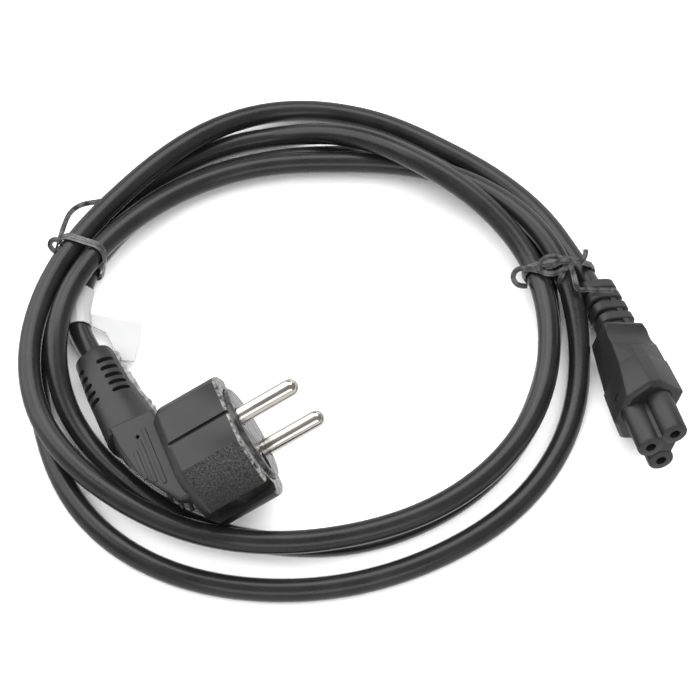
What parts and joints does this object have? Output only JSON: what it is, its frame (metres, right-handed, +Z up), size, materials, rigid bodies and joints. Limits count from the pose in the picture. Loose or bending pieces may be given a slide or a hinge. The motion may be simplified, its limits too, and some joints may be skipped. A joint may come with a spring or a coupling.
{
  "type": "mains power cord",
  "caption": "Coiled black mains cord with an angled earthed round-pin plug, a cloverleaf appliance connector, twist ties and a blank label flag.",
  "frame": {"origin": "on the floor, under the middle of the lead's whole box", "axes": "+Z up from the floor; +X across the coil from the plug's side to the connector's side; +Y away from the viewer"},
  "size_m": [0.1839, 0.1638, 0.0387],
  "materials": {
    "cord_jacket": "smooth satin sheath",
    "moulding": "satin, finely textured",
    "gloss_insert": "glossy",
    "nickel": "bright nickel plate",
    "contact_brass": "dull",
    "tie_coat": "thin glossy coat over wire",
    "label_white": "blank matt film"
  },
  "bodies": {
    "root": {"cord": "cord_jacket", "plug_body": "moulding", "plug_insert": "gloss_insert", "pin_upper": "nickel", "pin_lower": "nickel", "earth_clip_cord_side": "nickel", "earth_clip_far_side": "nickel", "connector_body": "moulding", "connector_nose": "moulding", "contact_head": "contact_brass", "contact_upper": "contact_brass", "contact_lower": "contact_brass", "tie_left": "tie_coat", "tie_right": "tie_coat", "label_flag": "label_white"}
  },
  "joints": []
}
